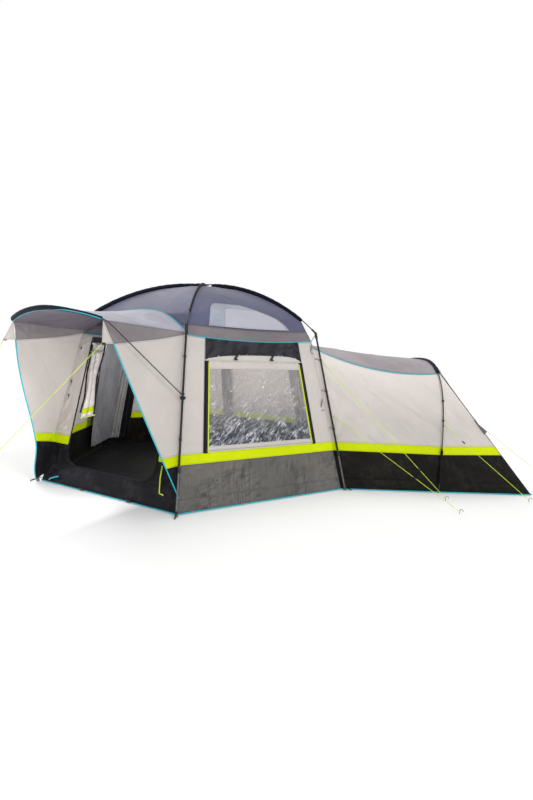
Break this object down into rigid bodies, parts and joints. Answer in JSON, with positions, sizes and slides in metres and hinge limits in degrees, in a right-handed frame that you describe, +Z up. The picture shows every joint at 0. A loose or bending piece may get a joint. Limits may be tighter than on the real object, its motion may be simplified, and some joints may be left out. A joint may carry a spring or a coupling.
{
  "type": "dome tent with porch canopy and sleeping pod",
  "caption": "Hexagonal dome tent on steel legs and bent poles, with a front porch canopy, a zipped window panel and a tunnel sleeping pod.",
  "frame": {"origin": "on the ground under the middle of the dome, on the underside of the dome's groundsheet", "axes": "+Z up, +X along the sleeping pod, away from the dome; the porch faces -X and -Y"},
  "size_m": [5.889, 4.0679, 2.1511],
  "materials": {
    "steel_leg": "black painted steel tube, grey where worn",
    "fibreglass_pole": "dark fibreglass rod",
    "plastic_black": "moulded plastic",
    "peg_steel": "zinc plated",
    "guy_cord": "braided lime-yellow cord",
    "groundsheet_cloth": "coated woven polyethylene",
    "cloth_roof": "coated polyester, navy grey",
    "cloth_grey_brown": "coated polyester, grey brown",
    "cloth_cream": "coated polyester, cream",
    "mesh_dark": "fine insect mesh",
    "window_film": "clear flexible film",
    "cloth_mud": "coated polyester, near black",
    "cloth_lime": "coated polyester, lime",
    "cloth_sleeve": "woven sleeve, dark navy",
    "piping_turquoise": "piping and binding tape"
  },
  "bodies": {
    "tent": {"canopy_hub_left": "plastic_black", "canopy_hub_right": "plastic_black", "elbow_back_left": "plastic_black", "elbow_back_right": "plastic_black", "elbow_front_left": "plastic_black", "elbow_front_right": "plastic_black", "elbow_pod_left": "plastic_black", "elbow_pod_right": "plastic_black", "groundsheet_dome": "groundsheet_cloth", "groundsheet_pod": "groundsheet_cloth", "guy_leg_middle": "guy_cord", "guy_leg_top": "guy_cord", "guy_pod_hoop": "guy_cord", "guy_pod_tail": "guy_cord", "leg_back_left": "steel_leg", "leg_back_right": "steel_leg", "leg_front_left": "steel_leg", "leg_front_right": "steel_leg", "leg_pod_left": "steel_leg", "leg_pod_right": "steel_leg", "peg_canopy_left": "peg_steel", "peg_canopy_right": "peg_steel", "peg_leg_middle": "peg_steel", "peg_leg_top": "peg_steel", "peg_pod_hoop": "peg_steel", "peg_pod_tail": "peg_steel", "pod_end": "cloth_cream", "pod_hoop": "fibreglass_pole", "pod_roof": "cloth_grey_brown", "pod_wall_left": "cloth_cream", "pod_wall_right": "cloth_cream", "roof_gore_door": "cloth_roof", "roof_gore_pod": "cloth_roof", "roof_gore_rear": "cloth_roof", "roof_gore_rear_left": "cloth_roof", "roof_gore_rear_right": "cloth_roof", "roof_gore_window": "cloth_roof", "roof_light": "window_film", "roof_pole_a": "fibreglass_pole", "roof_pole_b": "fibreglass_pole", "roof_pole_c": "fibreglass_pole", "vent_mesh": "mesh_dark", "wall_door": "cloth_cream", "wall_pod_doorway": "cloth_cream", "wall_rear": "cloth_cream", "wall_window": "cloth_cream"},
    "canopy_frame": {"canopy_bow": "fibreglass_pole", "canopy_top": "cloth_grey_brown", "canopy_wing_left": "cloth_cream", "canopy_wing_right": "cloth_cream", "guy_canopy_left": "guy_cord", "guy_canopy_right": "guy_cord"},
    "window_flap": {"window_panel": "cloth_cream", "window_pane": "window_film"},
    "door_leaf": {"door_leaf": "cloth_cream"},
    "zip_slider_left": {"zip_slider_left": "plastic_black"},
    "zip_slider_right": {"zip_slider_right": "plastic_black"},
    "runner_leg_middle": {"runner_leg_middle": "plastic_black"},
    "runner_leg_top": {"runner_leg_top": "plastic_black"},
    "runner_pod_hoop": {"runner_pod_hoop": "plastic_black"}
  },
  "joints": [
    {"name": "canopy_lift", "type": "hinge", "parent": "tent", "child": "canopy_frame", "pos_m": [-0.67949, -1.17691, 0.967], "axis": [-0.866, 0.5, 0], "range_deg": [0, 12], "deforming": ["canopy_top", "canopy_wing_left", "canopy_wing_right", "guy_canopy_left", "guy_canopy_right"]},
    {"name": "window_flap_hinge", "type": "hinge", "parent": "tent", "child": "window_flap", "pos_m": [0.61712, -1.06888, 1.283], "axis": [-0.866, -0.5, 0], "range_deg": [0, 100]},
    {"name": "door_leaf_hinge", "type": "hinge", "parent": "tent", "child": "door_leaf", "pos_m": [-1.09653, -0.80624, 1.03], "axis": [0.1193, 0.1987, 0.9728], "range_deg": [0, 60]},
    {"name": "zip_left_slide", "type": "slide", "parent": "tent", "child": "zip_slider_left", "axis": [-0.0346, 0.2464, 0.9686], "range_m": [0, 0.74]},
    {"name": "zip_right_slide", "type": "slide", "parent": "tent", "child": "zip_slider_right", "axis": [-0.1961, 0.1532, 0.9686], "range_m": [0, 0.74]},
    {"name": "runner_leg_middle_slide", "type": "slide", "parent": "tent", "child": "runner_leg_middle", "axis": [0.7167, -0.496, -0.4902], "range_m": [-0.3, 0.25]},
    {"name": "runner_leg_top_slide", "type": "slide", "parent": "tent", "child": "runner_leg_top", "axis": [0.6691, -0.2364, -0.7045], "range_m": [-0.3, 0.2]},
    {"name": "runner_pod_hoop_slide", "type": "slide", "parent": "tent", "child": "runner_pod_hoop", "axis": [0.75, -0.1889, -0.634], "range_m": [-0.12, 0.3]}
  ]
}
